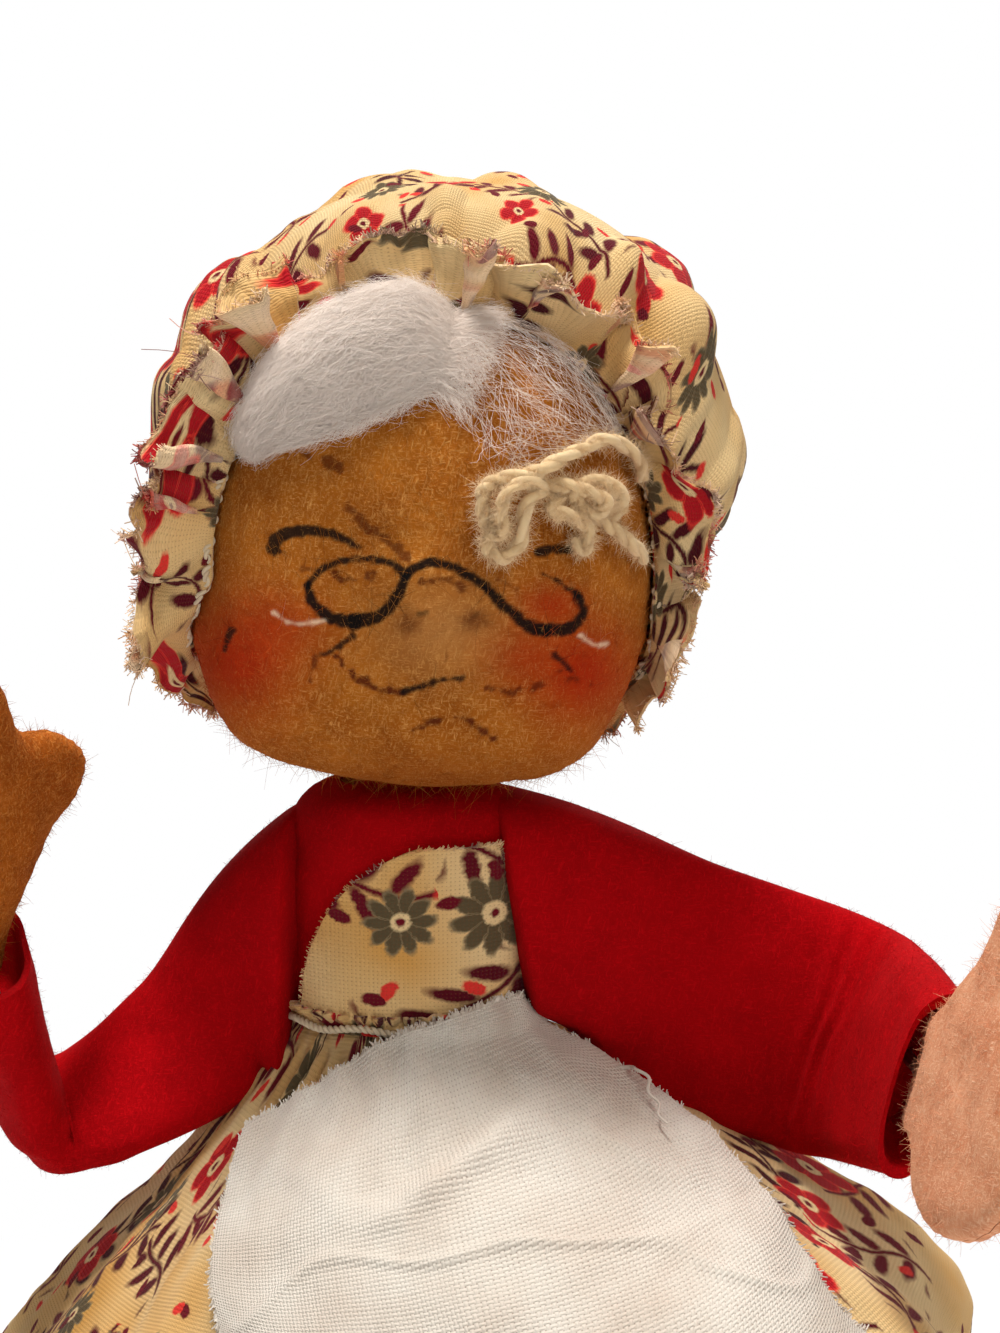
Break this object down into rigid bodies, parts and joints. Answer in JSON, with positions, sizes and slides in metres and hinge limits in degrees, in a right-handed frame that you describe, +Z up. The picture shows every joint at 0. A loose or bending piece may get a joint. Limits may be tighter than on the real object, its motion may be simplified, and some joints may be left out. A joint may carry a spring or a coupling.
{
  "type": "posable felt doll",
  "caption": "Posable felt granny doll on a bent wire armature, with a gathered print skirt, muslin apron, print bib and ruffled mob cap.",
  "frame": {"origin": "on the floor under the middle of the doll's bounding box", "axes": "+Z up, the face looks along -Y, and the doll's own left is +X"},
  "size_m": [0.1122, 0.1024, 0.1795],
  "materials": {
    "red_felt": "matte wool felt",
    "skin_felt": "matte wool felt with painted features",
    "black_felt": "matte wool felt",
    "print_cotton": "printed plain-weave cotton",
    "muslin": "unbleached muslin",
    "white_wool": "loose wool fibre",
    "cream_yarn": "twisted cotton yarn",
    "batting": "loose batting",
    "thread": "sewing thread",
    "wire": "soft annealed wire"
  },
  "bodies": {
    "torso": {"armature_wire": "wire", "torso_stuffing": "batting", "bodice_front": "red_felt", "bodice_back": "red_felt", "bib": "print_cotton", "skirt": "print_cotton", "apron": "muslin", "waist_thread": "thread"},
    "neck": {"neck_wire": "wire", "neck_felt": "red_felt"},
    "head": {"head_stuffing": "batting", "face_felt": "skin_felt", "head_back_felt": "skin_felt", "cap_crown": "print_cotton", "cap_ruffle": "print_cotton", "cap_gathering_thread": "thread", "hair_tuft": "white_wool", "yarn_tuft": "cream_yarn"},
    "left_upper_arm": {"left_upper_arm_wire": "wire", "left_upper_sleeve": "red_felt"},
    "left_forearm": {"left_forearm_wire": "wire", "left_lower_sleeve": "red_felt"},
    "left_hand": {"left_hand_wire": "wire", "left_palm_felt": "skin_felt", "left_hand_back_felt": "skin_felt"},
    "right_upper_arm": {"right_upper_arm_wire": "wire", "right_upper_sleeve": "red_felt"},
    "right_forearm": {"right_forearm_wire": "wire", "right_lower_sleeve": "red_felt"},
    "right_hand": {"right_hand_wire": "wire", "right_palm_felt": "skin_felt", "right_hand_back_felt": "skin_felt"},
    "left_thigh": {"left_thigh_wire": "wire", "left_thigh_felt": "red_felt"},
    "left_shin": {"left_shin_wire": "wire", "left_shin_felt": "red_felt"},
    "left_foot": {"left_foot_wire": "wire", "left_shoe_upper": "black_felt", "left_shoe_sole": "black_felt"},
    "right_thigh": {"right_thigh_wire": "wire", "right_thigh_felt": "red_felt"},
    "right_shin": {"right_shin_wire": "wire", "right_shin_felt": "red_felt"},
    "right_foot": {"right_foot_wire": "wire", "right_shoe_upper": "black_felt", "right_shoe_sole": "black_felt"}
  },
  "joints": [
    {"name": "neck_nod", "type": "hinge", "parent": "torso", "child": "neck", "pos_m": [-0.00193, 0.00192, 0.118], "axis": [1, 0, 0], "range_deg": [-16, 18]},
    {"name": "head_turn", "type": "hinge", "parent": "neck", "child": "head", "pos_m": [-0.00193, 0.00192, 0.118], "axis": [0.0698, 0, 0.9976], "range_deg": [-35, 35]},
    {"name": "left_shoulder_lift", "type": "hinge", "parent": "torso", "child": "left_upper_arm", "pos_m": [0.01507, 0.00192, 0.104], "axis": [0, -1, 0], "range_deg": [-8, 35]},
    {"name": "left_elbow_fold", "type": "hinge", "parent": "left_upper_arm", "child": "left_forearm", "pos_m": [0.04455, 0.00192, 0.09442], "axis": [-0.309, 0, -0.9511], "range_deg": [-75, 40]},
    {"name": "left_wrist_bend", "type": "hinge", "parent": "left_forearm", "child": "left_hand", "pos_m": [0.04703, -0.02294, 0.09361], "axis": [-0.9459, -0.1045, 0.3073], "range_deg": [-32, 18]},
    {"name": "right_shoulder_lift", "type": "hinge", "parent": "torso", "child": "right_upper_arm", "pos_m": [-0.01893, 0.00192, 0.104], "axis": [0, 1, 0], "range_deg": [-3, 11]},
    {"name": "right_elbow_fold", "type": "hinge", "parent": "right_upper_arm", "child": "right_forearm", "pos_m": [-0.04008, 0.00192, 0.08133], "axis": [-0.3876, 0.848, 0.3614], "range_deg": [-95, 4]},
    {"name": "right_wrist_bend", "type": "hinge", "parent": "right_forearm", "child": "right_hand", "pos_m": [-0.0434, -0.00907, 0.10354], "axis": [-0.7917, 0.5863, 0.1715], "range_deg": [-35, 10]},
    {"name": "left_hip_swing", "type": "hinge", "parent": "torso", "child": "left_thigh", "pos_m": [0.00557, 0.00192, 0.063], "axis": [-1, 0, 0], "range_deg": [-20, 20]},
    {"name": "left_knee_bend", "type": "hinge", "parent": "left_thigh", "child": "left_shin", "pos_m": [0.00557, 0.00192, 0.037], "axis": [1, 0, 0], "range_deg": [0, 50]},
    {"name": "left_ankle_bend", "type": "hinge", "parent": "left_shin", "child": "left_foot", "pos_m": [0.00557, 0.00192, 0.0115], "axis": [1, 0, 0], "range_deg": [-20, 20]},
    {"name": "right_hip_swing", "type": "hinge", "parent": "torso", "child": "right_thigh", "pos_m": [-0.00943, 0.00192, 0.063], "axis": [-1, 0, 0], "range_deg": [-20, 20]},
    {"name": "right_knee_bend", "type": "hinge", "parent": "right_thigh", "child": "right_shin", "pos_m": [-0.00943, 0.00192, 0.037], "axis": [1, 0, 0], "range_deg": [0, 50]},
    {"name": "right_ankle_bend", "type": "hinge", "parent": "right_shin", "child": "right_foot", "pos_m": [-0.00943, 0.00192, 0.0115], "axis": [1, 0, 0], "range_deg": [-20, 20]}
  ]
}
